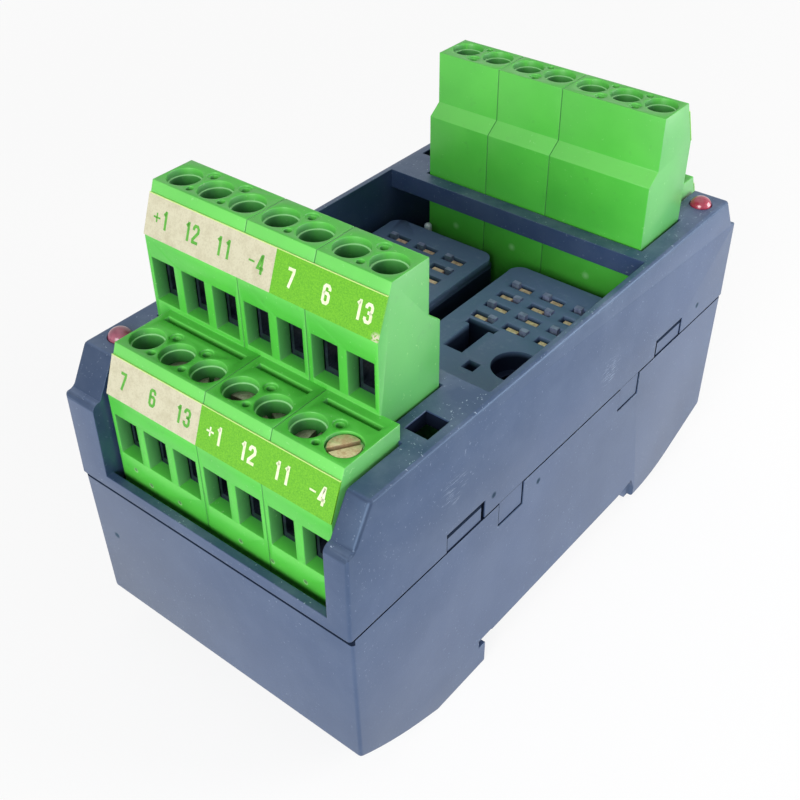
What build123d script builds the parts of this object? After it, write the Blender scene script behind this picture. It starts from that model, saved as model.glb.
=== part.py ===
from build123d import *
import math
import os

# Relay socket module that snaps onto a 35 mm rail. Millimetres. X runs across the module, Y from the
# front terminals to the rear ones and Z up from the feet, with the origin on the floor at the middle.

# Housing
body_width = 45.0
body_length = 87.4
seam_height = 28.8
plate_height = 46.6
plate_thickness = 2.0
shell_wall = 1.1
base_wall = 1.6
seam_gap = 0.25
seat_gap = 0.3

# Ends of the housing in side view
end_draft = 0.8
lip_height = 41.5
lip_inset = 0.1
lip_radius = 1.0
crease_inset = 1.35
plate_end_inset = 4.2
front_step = 0.35
rear_step = 0.5

# How far a cut runs past the face it opens, or an added block into the solid that it joins
overrun = 1.0

# Underside: rail channel, front foot with its fixed hook, rear foot open for the latch
rail_width = 35.0
rail_lip = 1.0
rail_play = 0.25
hook_bite = 0.3
hook_slot = 1.5
channel_height = 5.3
foot_flat = 10.4
sole_run = 4.0
sole_height = 1.4
toe_height = 6.9
corner_height = 7.8
heel_clearance = 0.5
rear_sole_run = 3.5
rear_sole_height = 1.7
rear_sole_length = 7.0
heel_radius = 25.0
toe_radius = 60.0
foot_core_width = 7.6
foot_core_pitch = 9.6
foot_core_count = 4
foot_core_length = 8.0
rear_core_length = 17.5
seat_relief = 0.2
notch_depth = 0.9
notch_length = 4.6
notch_rise = 0.6
notch_lean = 1.2

# Snap tabs along the seam on both long sides: middle of each pair and half the distance between them
tab_up_length = 6.7
tab_up_height = 2.6
tab_down_length = 5.0
tab_down_height = 3.9
tab_gap = 0.25
tab_slack = 0.35
tab_recess = 0.12
tab_pairs = ((-18.0, 4.9), (21.2, 5.3))

# Relay well between the terminal rows
well_half_length = 17.5
well_bar_depth = 2.9

# Terminal blocks: two tiers of clamps, the upper one half a pitch to the side
pole_pitch = 5.08
block_poles = (3, 2, 2)
row_shift = 0.95
block_gap = 0.1
lower_face = 41.45
upper_face = 30.45
upper_back = 20.0
upper_top_back = 22.0
lower_rise = 2.15
tier_step = 15.65
slope_run = 2.4
slope_height = 6.25
back_step = 7.3
back_step_drop = 1.5
lower_screw_row = 36.25
upper_screw_row = 25.4
recess_gap = 0.5
recess_sill = 1.8
cheek_thickness = 1.1
key_slot_width = 0.85
key_slot_depth = 1.2
key_slot_row = 32.0
key_slot_inset = 1.1

# Wire windows and the clamp chamber behind each
window_width = 3.8
window_height = 6.0
window_drop = 2.75
chamber_length = 8.8
bore_radius = 2.15
bore_sides = 20

# Clamp cages
cage_play = 0.15
cage_headroom = 0.4
cage_front = 1.9
cage_back = 2.5
cage_top = 1.5
cage_side = 0.4
cage_floor = 0.8

# Clamp screws
head_play = 0.25
head_sides = 20
head_height = 1.6
slot_width = 0.6
slot_depth = 0.8
shank_radius = 1.25
shank_length = 8.3
thread_gap = 0.06
shank_sides = 8
seen_depths = (3.1, 2.4, 2.3, 1.9, 2.45, 2.2, 0.25)
seen_turns = (20.0, 75.0, 130.0, 5.0, 155.0, 100.0, 57.5)
driven_depth = 4.2

# Marking strips on the sloping faces
strip_thickness = 0.2
strip_margin = 0.15
strip_height = 5.1

# Circuit board
board_top = 27.0
board_thickness = 1.6
board_play = 0.3
ledge_width = 1.5
ledge_length = 6.0
ledge_rows = (-33.0, -11.0, 11.0, 33.0)

# Relay sockets
socket_side_gap = 0.9
socket_middle_gap = 3.0
socket_length = 34.2
socket_drop = 7.5
socket_corner = 2.0
socket_skirt = 0.35
socket_skirt_drop = 1.1
contact_pitch = 5.08
contact_columns = 3
contact_row_pitch = 3.0
contact_rows = 4
first_contact_row = 3.5
cell_width = 3.6
cell_length = 1.5
cell_floor = 3.1
blade_width = 1.7
blade_thickness = 0.7
blade_sink = 0.1
blade_shift = (-0.25, 0.85)
pad_width = 1.1
pad_length = 0.75
pad_rise = 0.2
pad_shift = (1.15, -1.1)
coil_slot_shift = -4.1
coil_slot_width = 3.0
coil_slot_start = -4.9
coil_slot_length = 5.8
coil_bar_width = 4.8
coil_bar_length = 1.2
pocket_floor = 4.1
key_hole_radius = 3.25
key_hole_shift = 4.65
key_hole_row = -3.2
key_ring_radius = 2.3
key_ring_depth = 3.0
peg_hole_side = 1.8
peg_hole_row = -6.5

# Indicator lamps and their leads, the square holes in the plate and the light pipe in the well. A lamp's
# share is how far its middle lies from the side of the housing towards the terminal row
lamp_radius = 1.5
lamp_rise = 1.3
lamp_chamfer = 0.6
lamp_body = 4.0
lamp_gap = 0.1
lamp_share = 0.475
lamp_end_inset = 7.6
lead_side = 0.45
lead_inset = 0.9
lead_half_spacing = 0.8
lead_tail = 1.5
lead_gap = 0.15
square_hole_inset = 3.1
square_hole_row = 26.4
square_hole_width = 3.2
square_hole_length = 3.9
pipe_radius = 0.6
pipe_shift = -3.7
pipe_rise = 0.6

# Rail latch under the rear foot, with its leaf spring and the guides that carry it
latch_width = 22.0
latch_floor = 0.9
latch_bite = 1.1
latch_length = 19.0
latch_nose = 2.6
latch_gap = 0.2
latch_rail = 1.0
latch_window_width = 10.0
latch_window_start = 3.4
latch_window_length = 11.0
pull_slot_width = 6.0
pull_slot_length = 1.6
pull_slot_margin = 1.5
latch_travel = 3.0
guide_width = 4.5
guide_length = 9.0
stop_thickness = 1.4
stop_width = 8.0
spring_strip = 0.35
spring_folds = 3
spring_half_width = 3.6
spring_height = 1.8

# Places that follow from the sizes above
half_width = body_width / 2
half_length = body_length / 2
channel_half = rail_width / 2 - hook_bite
channel_rear = rail_width / 2 + heel_clearance
heel_bend = channel_rear + rear_sole_run + rear_sole_length
hook_top = channel_height - rail_lip - rail_play
plate_under = plate_height - plate_thickness
row_length = sum(block_poles) * pole_pitch
board_under = board_top - board_thickness
lower_top = plate_height + lower_rise
upper_top = lower_top + tier_step
recess_floor = seam_height + recess_sill
corner_reach = half_length - end_draft
cage_width = window_width - 2 * cage_play
cage_height = window_height - cage_headroom
head_radius = bore_radius - head_play
board_half_width = half_width - base_wall - board_play
board_half_length = corner_reach - base_wall - board_play
socket_room = half_width - shell_wall - socket_side_gap - socket_middle_gap / 2
socket_width = socket_room - 2 * socket_skirt
socket_spacing = socket_room + socket_middle_gap
socket_top = plate_height - socket_drop
socket_height = socket_top - board_top
cell_depth = socket_height - cell_floor
pocket_depth = socket_height - pocket_floor
side_strip = half_width + row_shift - row_length / 2
lamp_x = lamp_share * side_strip - half_width
lamp_y = lamp_end_inset - half_length
square_hole_x = half_width - square_hole_inset
hollow_floor = channel_height + base_wall

# Per tier, lower then upper: front face, back, top and screw row as distances from the middle or floor
tier_face = (lower_face, upper_face)
tier_back = (upper_face, upper_back)
tier_top = (lower_top, upper_top)
tier_row = (lower_screw_row, upper_screw_row)


def place_left(first_pole, tier):
    """Left end in X of the pole with this number in a tier of the front row."""
    return row_shift - row_length / 2 + first_pole * pole_pitch - tier * pole_pitch / 2


def place_pole(pole, tier):
    return place_left(pole, tier) + pole_pitch / 2


def window_top(tier):
    return tier_top[tier] - slope_height - window_drop


def chamber_floor(tier):
    return window_top(tier) - window_height


def cuboid(low, high, mode=Mode.ADD):
    """A box between two corners, in the part under construction."""
    size = [b - a for a, b in zip(low, high)]
    middle = [(a + b) / 2 for a, b in zip(low, high)]
    with Locations(tuple(middle)):
        Box(*size, mode=mode)


def sided(side, near, far):
    """Two distances from the middle plane as low and high values on one side of it."""
    return sorted((side * near, side * far))


def half_turned(piece):
    """The same piece at the other end of the module, which looks alike from both ends."""
    with BuildPart() as turned:
        add(piece.part.rotate(Axis.Z, 180))
    return turned


def save(piece, name):
    piece.part.label = name
    export_step(piece.part, f"parts/{name}.step")


def base_end(height, inset):
    """How far the drafted end wall of the base stands out at a height."""
    share = (height - corner_height) / (seam_height - corner_height)
    return corner_reach + (half_length - inset - corner_reach) * share


def draw_base_side(top):
    """Side view of the base, with the rail channel below, up to a given height."""
    front_top = (-base_end(top, front_step), top)
    front_corner = (-base_end(toe_height, front_step), toe_height)
    front_bend = (-channel_half - foot_flat - sole_run, sole_height)
    rear_top = (base_end(top, rear_step), top)
    Polyline(rear_top, front_top, front_corner)
    RadiusArc(front_corner, front_bend, -toe_radius)
    Polyline(
        front_bend,
        (-channel_half - foot_flat, 0),
        (-channel_half, 0),
        (-channel_half, channel_height),
        (channel_rear, channel_height),
        (heel_bend - rear_sole_length, rear_sole_height),
        (heel_bend, rear_sole_height),
        (corner_reach, corner_height),
        rear_top,
    )


def draw_shell_side(bottom):
    """Side view of the shell, both ends alike, down to a given height."""
    rear_half = [
        (half_length, bottom),
        (half_length - lip_inset, lip_height),
        (half_length - crease_inset, lip_height + lip_inset),
        (half_length - plate_end_inset, plate_height),
    ]
    front_half = [(-y, z) for y, z in reversed(rear_half)]
    Polyline(*rear_half, *front_half, close=True)


def tab_rows(side):
    """Rows in Y of the tabs on one long side, as pairs of shell tab and base tab."""
    rows = []
    for centre, half_pair in tab_pairs:
        outward = math.copysign(half_pair, centre)
        rows.append((side * (centre - outward), side * (centre + outward)))
    return rows


# Base: a tray with the rail channel below it, ledges for the board inside and a latch under its rear foot
core_start = channel_half + hook_slot + base_wall
latch_start = channel_half + hook_bite - latch_bite
latch_top = hook_top
guide_start = channel_rear + rear_sole_run
guide_inner = latch_width / 2 + latch_gap
window_start = latch_start + latch_window_start
window_end = window_start + latch_window_length
stop_front = window_end - stop_thickness - latch_gap

with BuildPart() as base_housing:
    with BuildSketch(Plane.YZ) as base_side:
        with BuildLine():
            draw_base_side(seam_height - seam_gap)
        make_face()
        heel = base_side.vertices().filter_by_position(Axis.X, heel_bend - 0.1, heel_bend + 0.1)
        fillet(heel, heel_radius)
    extrude(amount=half_width, both=True)
    with BuildSketch(Plane.YZ):
        with BuildLine():
            Polyline(
                (-base_end(seam_height, front_step) + base_wall, seam_height),
                (-corner_reach + base_wall, corner_height + base_wall),
                (-channel_half - foot_flat - sole_run, hollow_floor),
                (channel_half + foot_flat + sole_run, hollow_floor),
                (corner_reach - base_wall, corner_height + base_wall),
                (base_end(seam_height, rear_step) - base_wall, seam_height),
                close=True,
            )
        make_face()
    extrude(amount=half_width - base_wall, both=True, mode=Mode.SUBTRACT)
    for side in (-1, 1):
        for row in ledge_rows:
            low, high = sided(side, half_width - base_wall - ledge_width, half_width - base_wall / 2)
            cuboid(
                (low, row - ledge_length / 2, channel_height + base_wall / 2),
                (high, row + ledge_length / 2, board_under),
            )
    # Slot of the fixed hook, which the rail's edge enters
    cuboid(
        (-half_width, -channel_half - hook_slot, hook_top),
        (half_width, -channel_half + hook_slot, channel_height + seat_relief),
        mode=Mode.SUBTRACT,
    )
    for index in range(foot_core_count):
        core_middle = (index - (foot_core_count - 1) / 2) * foot_core_pitch
        cuboid(
            (core_middle - foot_core_width / 2, -core_start - foot_core_length, -overrun),
            (core_middle + foot_core_width / 2, -core_start, channel_height),
            mode=Mode.SUBTRACT,
        )
    # The rear foot is open below between the side walls, and holds the latch's guides and spring stop
    cuboid(
        (-half_width + base_wall, channel_half - overrun, -overrun),
        (half_width - base_wall, channel_half + rear_core_length, channel_height + seat_relief),
        mode=Mode.SUBTRACT,
    )
    # Shallow notch outside each side wall, where the channel ends at the rear foot
    for side in (-1, 1):
        with BuildSketch(Plane.YZ.offset(side * half_width)):
            with BuildLine():
                Polyline(
                    (channel_rear - notch_rise, channel_height),
                    (channel_rear + notch_length - notch_lean, channel_height + notch_rise),
                    (channel_rear + notch_length, channel_height - rear_sole_height),
                    (channel_rear + notch_length, 0),
                    (channel_rear - notch_rise, 0),
                    close=True,
                )
            make_face()
        extrude(amount=notch_depth, both=True, mode=Mode.SUBTRACT)
    for side in (-1, 1):
        low, high = sided(side, guide_inner, guide_inner + guide_width)
        cuboid(
            (low, guide_start, 0),
            (high, guide_start + guide_length, channel_height + base_wall / 2),
        )
        low, high = sided(side, guide_inner - overrun, guide_inner + latch_rail + latch_gap)
        cuboid(
            (low, guide_start - overrun, latch_floor + latch_rail - latch_gap),
            (high, guide_start + guide_length + overrun, latch_top - latch_rail + latch_gap),
            mode=Mode.SUBTRACT,
        )
    cuboid(
        (-stop_width / 2, stop_front, latch_floor),
        (stop_width / 2, stop_front + stop_thickness, channel_height + base_wall / 2),
    )
    for side in (-1, 1):
        for down_row, up_row in tab_rows(side):
            low, high = sided(side, half_width - base_wall - overrun, half_width + overrun)
            cuboid(
                (low, down_row - tab_down_length / 2 - tab_gap, seam_height - tab_down_height - tab_gap),
                (high, down_row + tab_down_length / 2 + tab_gap, seam_height + overrun),
                mode=Mode.SUBTRACT,
            )
            low, high = sided(side, half_width - shell_wall, half_width - tab_recess)
            cuboid(
                (low, up_row - tab_up_length / 2, seam_height - tab_down_height),
                (high, up_row + tab_up_length / 2, seam_height + tab_up_height),
            )
save_list = [(base_housing, "base_housing")]

# Shell: the upper half of the housing, open below, over the well and round both terminal rows
recess_left = place_left(0, 0) - recess_gap
recess_right = place_left(0, 0) + row_length + recess_gap


def recess_cheek(left):
    """Wall beside a terminal recess, at the front of the shell."""
    with BuildPart() as wall:
        with BuildSketch(Plane.YZ.offset(left)) as side:
            with BuildLine():
                draw_shell_side(seam_height)
            make_face()
            lips = side.vertices().filter_by_position(Axis.Y, lip_height - 0.05, lip_height + 0.05)
            fillet(lips, lip_radius)
            with Locations((-(half_length + upper_face) / 2, plate_height / 2)):
                Rectangle(half_length - upper_face, plate_height, mode=Mode.INTERSECT)
        extrude(amount=cheek_thickness)
    return wall.part


def front_openings():
    """What is cut from the front half of the shell: terminal recess, slot of the upper tier, holes."""
    upper_left = place_left(0, 1) - seat_gap
    upper_right = place_left(0, 1) + row_length + seat_gap
    with BuildPart() as cuts:
        cuboid(
            (recess_left, -half_length - overrun, recess_floor),
            (recess_right, -upper_face, plate_height + overrun),
        )
        cuboid(
            (upper_left, -upper_face, plate_under - overrun),
            (upper_right, -upper_back + seat_gap, plate_height + overrun),
        )
        with Locations((square_hole_x, -square_hole_row, plate_height)):
            Box(square_hole_width, square_hole_length, 2 * (plate_thickness + overrun))
        with Locations((lamp_x, lamp_y, plate_height - lamp_body)):
            Cylinder(
                lamp_radius + lamp_gap,
                lamp_body + overrun,
                align=(Align.CENTER, Align.CENTER, Align.MIN),
            )
    return cuts.part


cheeks = [recess_cheek(recess_left - cheek_thickness), recess_cheek(recess_right)]
front_cuts = front_openings()

with BuildPart() as upper_shell:
    with BuildSketch(Plane.YZ) as shell_side:
        with BuildLine():
            draw_shell_side(seam_height)
        make_face()
        lips = shell_side.vertices().filter_by_position(Axis.Y, lip_height - 0.05, lip_height + 0.05)
        fillet(lips, lip_radius)
    extrude(amount=half_width, both=True)
    with BuildSketch(Plane.YZ):
        with BuildLine():
            draw_shell_side(seam_height - 2 * shell_wall)
        make_face()
        offset(amount=-shell_wall, kind=Kind.INTERSECTION, mode=Mode.REPLACE)
        with Locations((0, plate_under / 2)):
            Rectangle(body_length, plate_under, mode=Mode.INTERSECT)
    extrude(amount=half_width - shell_wall, both=True, mode=Mode.SUBTRACT)
    for side in (-1, 1):
        low, high = sided(side, well_half_length, upper_back - seat_gap)
        cuboid(
            (-half_width + shell_wall / 2, low, plate_height - well_bar_depth),
            (half_width - shell_wall / 2, high, plate_height),
        )
    cuboid(
        (-half_width + shell_wall, -well_half_length, plate_under - overrun),
        (half_width - shell_wall, well_half_length, plate_height + overrun),
        mode=Mode.SUBTRACT,
    )
    for turn in (0, 180):
        for cheek in cheeks:
            add(cheek.rotate(Axis.Z, turn))
        add(front_cuts.rotate(Axis.Z, turn), mode=Mode.SUBTRACT)
    for side in (-1, 1):
        for down_row, up_row in tab_rows(side):
            low, high = sided(side, half_width - shell_wall - overrun, half_width + overrun)
            toward = math.copysign(tab_slack / 2, down_row - up_row)
            notch_half = tab_up_length / 2 + tab_gap + tab_slack / 2
            cuboid(
                (low, up_row + toward - notch_half, seam_height - overrun),
                (high, up_row + toward + notch_half, seam_height + tab_up_height + tab_gap),
                mode=Mode.SUBTRACT,
            )
            low, high = sided(side, half_width - shell_wall, half_width - tab_recess)
            cuboid(
                (low, down_row - tab_down_length / 2, seam_height - tab_down_height),
                (high, down_row + tab_down_length / 2, seam_height + tab_up_height),
            )
save_list.append((upper_shell, "upper_shell"))


# Terminal blocks: one moulding holds both tiers of two or three poles
def terminal_block(first_pole, poles):
    with BuildPart() as block:
        for tier in (0, 1):
            face = -tier_face[tier]
            back = -tier_back[tier]
            top = tier_top[tier]
            with BuildSketch(Plane.YZ.offset(place_left(first_pole, tier) + block_gap / 2)):
                with BuildLine():
                    outline = [(face, board_top), (face, top - slope_height), (face + slope_run, top)]
                    if tier:
                        outline += [
                            (-upper_top_back, top),
                            (-upper_top_back, top - back_step),
                            (back, top - back_step - back_step_drop),
                        ]
                    else:
                        outline += [(back, top)]
                    outline += [(back, board_top)]
                    Polyline(*outline, close=True)
                make_face()
            extrude(amount=poles * pole_pitch - block_gap)
        slot_left = place_left(first_pole, 0) + key_slot_inset
        cuboid(
            (slot_left, -key_slot_row - key_slot_width / 2, lower_top - key_slot_depth),
            (
                slot_left + poles * pole_pitch - 2 * key_slot_inset,
                -key_slot_row + key_slot_width / 2,
                lower_top + overrun,
            ),
            mode=Mode.SUBTRACT,
        )
        for tier in (0, 1):
            middles = [place_pole(pole, tier) for pole in range(first_pole, first_pole + poles)]
            face = -tier_face[tier]
            floor = chamber_floor(tier)
            for middle in middles:
                cuboid(
                    (middle - window_width / 2, face - overrun, floor),
                    (middle + window_width / 2, face + chamber_length, floor + window_height),
                    mode=Mode.SUBTRACT,
                )
            with BuildSketch(Plane.XY.offset(floor + window_height / 2)):
                with Locations([(middle, -tier_row[tier]) for middle in middles]):
                    RegularPolygon(bore_radius, bore_sides)
            extrude(amount=tier_top[tier], mode=Mode.SUBTRACT)
    return block


block_names = ("left", "middle", "right")
rear_names = ("right", "middle", "left")
block_starts = [sum(block_poles[:index]) for index in range(len(block_poles))]
for index, poles in enumerate(block_poles):
    block = terminal_block(block_starts[index], poles)
    save_list.append((block, f"terminal_block_front_{block_names[index]}"))
    save_list.append((half_turned(block), f"terminal_block_rear_{rear_names[index]}"))


# Clamps: a cage in each chamber, open to the window, with the screw's hole in its roof
def clamp_row(tier):
    with BuildPart() as cages:
        for pole in range(sum(block_poles)):
            middle = place_pole(pole, tier)
            row = -tier_row[tier]
            floor = chamber_floor(tier)
            front = cage_front - tier_face[tier]
            cuboid(
                (middle - cage_width / 2, front, floor),
                (middle + cage_width / 2, row + cage_back, floor + cage_height),
            )
            cuboid(
                (middle - cage_width / 2 + cage_side, front - overrun, floor + cage_floor),
                (
                    middle + cage_width / 2 - cage_side,
                    row + cage_back + overrun,
                    floor + cage_height - cage_top,
                ),
                mode=Mode.SUBTRACT,
            )
            with BuildSketch(Plane.XY.offset(floor + cage_height - cage_top)):
                with Locations((middle, row)):
                    RegularPolygon(shank_radius + thread_gap, shank_sides, major_radius=False)
            extrude(amount=cage_top, mode=Mode.SUBTRACT)
    return cages


tier_names = ("lower", "upper")
for tier in (0, 1):
    cages = clamp_row(tier)
    save_list.append((cages, f"clamps_front_{tier_names[tier]}"))
    save_list.append((half_turned(cages), f"clamps_rear_{tier_names[tier]}"))


# Clamp screws: cheese heads with a slot, each at the depth where it was left
def clamp_screw(pole, tier, depth, turn):
    middle = place_pole(pole, tier)
    row = -tier_row[tier]
    head_top = tier_top[tier] - depth
    with BuildPart() as screw:
        with BuildSketch(Plane.XY.offset(head_top - head_height)):
            with Locations((middle, row)):
                RegularPolygon(head_radius, head_sides)
        extrude(amount=head_height)
        with BuildSketch(Plane.XY.offset(head_top - head_height - shank_length)):
            with Locations((middle, row)):
                RegularPolygon(shank_radius, shank_sides)
        extrude(amount=shank_length)
        with BuildSketch(Plane.XY.offset(head_top - slot_depth)):
            with Locations(Location((middle, row, 0), (0, 0, turn))):
                Rectangle(2 * (head_radius + overrun), slot_width)
        extrude(amount=slot_depth + overrun, mode=Mode.SUBTRACT)
    return screw


for tier in (0, 1):
    for pole in range(sum(block_poles)):
        seen = tier == 0
        turn = seen_turns[pole] if seen else seen_turns[-1 - pole]
        front = clamp_screw(pole, tier, seen_depths[pole] if seen else driven_depth, turn)
        rear = half_turned(clamp_screw(pole, tier, driven_depth, turn))
        save_list.append((front, f"screw_front_{tier_names[tier]}_{pole + 1}"))
        save_list.append((rear, f"screw_rear_{tier_names[tier]}_{pole + 1}"))


# Marking strips: one along each tier, stuck on the slope under the screws
def marking_strip(tier):
    slope = math.hypot(slope_run, slope_height)
    along = (slope_run / slope, slope_height / slope)
    outward = (-along[1] * strip_thickness, along[0] * strip_thickness)
    low = (
        -tier_face[tier] + along[0] * strip_margin,
        tier_top[tier] - slope_height + along[1] * strip_margin,
    )
    high = (low[0] + along[0] * strip_height, low[1] + along[1] * strip_height)
    with BuildPart() as strip:
        with BuildSketch(Plane.YZ.offset(place_left(0, tier) + block_gap / 2)):
            with BuildLine():
                Polyline(
                    low,
                    high,
                    (high[0] + outward[0], high[1] + outward[1]),
                    (low[0] + outward[0], low[1] + outward[1]),
                    close=True,
                )
            make_face()
        extrude(amount=row_length - block_gap)
    return strip


for tier in (0, 1):
    strip = marking_strip(tier)
    save_list.append((strip, f"marking_strip_front_{tier_names[tier]}"))
    save_list.append((half_turned(strip), f"marking_strip_rear_{tier_names[tier]}"))


# Relay sockets: a moulding on the board with rows of contact cells, a coil slot and a keying hole
def contact_cells(socket_middle):
    """Middle of every contact cell of a socket and 0 or 1 for which way round its row is laid."""
    cells = []
    for row in range(contact_rows):
        for column in range(contact_columns):
            x = socket_middle + (column - (contact_columns - 1) / 2) * contact_pitch
            y = first_contact_row + row * contact_row_pitch
            cells.append((x, y, row % 2))
    return cells


def relay_socket(socket_middle):
    with BuildPart() as socket:
        with BuildSketch(Plane.XY.offset(board_top)):
            with Locations((socket_middle, 0)):
                RectangleRounded(socket_width + 2 * socket_skirt, socket_length, socket_corner)
        extrude(amount=socket_height - socket_skirt_drop)
        with BuildSketch(Plane.XY.offset(socket_top - socket_skirt_drop)):
            with Locations((socket_middle, 0)):
                RectangleRounded(socket_width, socket_length, socket_corner)
        extrude(amount=socket_skirt_drop)
        for x, y, _ in contact_cells(socket_middle):
            cuboid(
                (x - cell_width / 2, y - cell_length / 2, socket_top - cell_depth),
                (x + cell_width / 2, y + cell_length / 2, socket_top + overrun),
                mode=Mode.SUBTRACT,
            )
        slot_middle = socket_middle + coil_slot_shift
        slot_end = coil_slot_start + coil_slot_length
        cuboid(
            (slot_middle - coil_slot_width / 2, coil_slot_start, socket_top - pocket_depth),
            (slot_middle + coil_slot_width / 2, slot_end, socket_top + overrun),
            mode=Mode.SUBTRACT,
        )
        cuboid(
            (slot_middle - coil_bar_width / 2, slot_end, socket_top - pocket_depth),
            (slot_middle + coil_bar_width / 2, slot_end + coil_bar_length, socket_top + overrun),
            mode=Mode.SUBTRACT,
        )
        cuboid(
            (socket_middle - peg_hole_side / 2, peg_hole_row - peg_hole_side / 2, socket_top - pocket_depth),
            (socket_middle + peg_hole_side / 2, peg_hole_row + peg_hole_side / 2, socket_top + overrun),
            mode=Mode.SUBTRACT,
        )
        with Locations((socket_middle + key_hole_shift, key_hole_row, socket_top)):
            CounterBoreHole(key_ring_radius, key_hole_radius, key_ring_depth, depth=pocket_depth)
    return socket


def socket_blades(socket_middle):
    """Contacts of one socket: a brass blade and a support block in each cell."""
    with BuildPart() as blades:
        for x, y, kind in contact_cells(socket_middle):
            middle = x + blade_shift[kind]
            front = y - cell_length / 2
            cuboid(
                (middle - blade_width / 2, front, socket_top - cell_depth),
                (middle + blade_width / 2, front + blade_thickness, socket_top - blade_sink),
            )
            pad = x + pad_shift[kind]
            cuboid(
                (pad - pad_width / 2, front + cell_length - pad_length, socket_top - cell_depth),
                (pad + pad_width / 2, front + cell_length, socket_top + pad_rise),
            )
    return blades


socket_middles = (-socket_spacing / 2, socket_spacing / 2)
for name, middle in zip(("left", "right"), socket_middles):
    save_list.append((relay_socket(middle), f"relay_socket_{name}"))
    save_list.append((socket_blades(middle), f"socket_contacts_{name}"))


# Indicator lamps: domes in the plate, one at each end, on two leads down to the board
def lead_places():
    """Middle of each lead of the front lamp."""
    lead_x = lamp_x + lead_inset
    return [(lead_x, lamp_y - lead_half_spacing), (lead_x, lamp_y + lead_half_spacing)]


with BuildPart() as front_lamp:
    with BuildSketch(Plane.XY.offset(plate_height - lamp_body)):
        with Locations((lamp_x, lamp_y)):
            Circle(lamp_radius)
    extrude(amount=lamp_body + lamp_rise)
    chamfer(front_lamp.faces().sort_by(Axis.Z)[-1].edges(), lamp_chamfer)
save_list.append((front_lamp, "lamp_front"))
save_list.append((half_turned(front_lamp), "lamp_rear"))

with BuildPart() as lamp_leads:
    for turn in (1, -1):
        for x, y in lead_places():
            cuboid(
                (turn * x - lead_side / 2, turn * y - lead_side / 2, board_under - lead_tail),
                (turn * x + lead_side / 2, turn * y + lead_side / 2, plate_height - lamp_body),
            )
save_list.append((lamp_leads, "lamp_leads"))

# Light pipe: a clear rod on the board behind the left socket
pipe_y = socket_length / 2 + pipe_radius + block_gap
with BuildPart() as light_pipe:
    with BuildSketch(Plane.XY.offset(board_top)):
        with Locations((socket_middles[0] + pipe_shift, pipe_y)):
            Circle(pipe_radius)
    extrude(amount=socket_height + pipe_rise)
save_list.append((light_pipe, "light_pipe"))

# Circuit board: carries blocks and sockets, with holes for the lamp leads
with BuildPart() as circuit_board:
    cuboid(
        (-board_half_width, -board_half_length, board_under),
        (board_half_width, board_half_length, board_top),
    )
    with BuildSketch(Plane.XY.offset(board_under)):
        for turn in (1, -1):
            for x, y in lead_places():
                with Locations((turn * x, turn * y)):
                    Rectangle(lead_side + 2 * lead_gap, lead_side + 2 * lead_gap)
    extrude(amount=board_thickness, mode=Mode.SUBTRACT)
save_list.append((circuit_board, "circuit_board"))

# Rail latch: slides in the guides of the rear foot, with a folded leaf spring in its window
with BuildPart() as rail_latch:
    with BuildSketch(Plane.YZ):
        with BuildLine():
            Polyline(
                (latch_start, latch_top),
                (latch_start, latch_top - rail_lip),
                (latch_start + latch_nose, latch_floor),
                (latch_start + latch_length, latch_floor),
                (latch_start + latch_length, latch_top),
                close=True,
            )
        make_face()
    extrude(amount=latch_width / 2, both=True)
    for side in (-1, 1):
        low, high = sided(side, latch_width / 2 - overrun, latch_width / 2 + latch_rail)
        cuboid(
            (low, guide_start, latch_floor + latch_rail),
            (high, latch_start + latch_length, latch_top - latch_rail),
        )
    cuboid(
        (-latch_window_width / 2, window_start, 0),
        (latch_window_width / 2, window_end, channel_height),
        mode=Mode.SUBTRACT,
    )
    cuboid(
        (-pull_slot_width / 2, latch_start + latch_length - pull_slot_margin - pull_slot_length, 0),
        (pull_slot_width / 2, latch_start + latch_length - pull_slot_margin, channel_height),
        mode=Mode.SUBTRACT,
    )
save_list.append((rail_latch, "rail_latch"))

with BuildPart() as latch_spring:
    with BuildSketch(Plane.XY.offset(latch_floor + (latch_top - latch_floor - spring_height) / 2)):
        with BuildLine() as zigzag:
            fold_pitch = (stop_front - window_start - spring_strip) / (2 * spring_folds)
            zigzag_points = []
            for index in range(2 * spring_folds + 1):
                swing = spring_half_width if index % 2 else -spring_half_width
                zigzag_points.append((swing, window_start + spring_strip / 2 + index * fold_pitch))
            Polyline(*zigzag_points)
        trace(line_width=spring_strip)
    extrude(amount=spring_height)
save_list.append((latch_spring, "latch_spring"))

os.makedirs("parts", exist_ok=True)
for piece, name in save_list:
    save(piece, name)
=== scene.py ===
import math

import bmesh
import bpy
from mathutils import Matrix, Vector


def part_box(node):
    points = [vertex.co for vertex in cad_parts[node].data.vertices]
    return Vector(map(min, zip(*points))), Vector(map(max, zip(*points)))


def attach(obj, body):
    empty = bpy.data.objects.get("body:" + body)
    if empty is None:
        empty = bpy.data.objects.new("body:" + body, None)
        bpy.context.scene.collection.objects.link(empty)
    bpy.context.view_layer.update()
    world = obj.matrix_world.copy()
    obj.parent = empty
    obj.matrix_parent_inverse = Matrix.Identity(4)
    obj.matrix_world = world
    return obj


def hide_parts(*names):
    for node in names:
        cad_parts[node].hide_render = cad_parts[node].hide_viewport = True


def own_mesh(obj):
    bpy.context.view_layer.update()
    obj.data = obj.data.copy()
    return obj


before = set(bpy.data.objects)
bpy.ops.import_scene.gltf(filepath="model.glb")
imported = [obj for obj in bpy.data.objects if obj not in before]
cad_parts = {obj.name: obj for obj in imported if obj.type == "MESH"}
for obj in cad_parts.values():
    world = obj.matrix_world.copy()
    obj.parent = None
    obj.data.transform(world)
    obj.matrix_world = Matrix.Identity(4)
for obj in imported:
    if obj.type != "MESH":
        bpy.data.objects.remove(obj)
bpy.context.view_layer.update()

mm = 0.001  # sizes and places below are in millimetres


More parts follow.
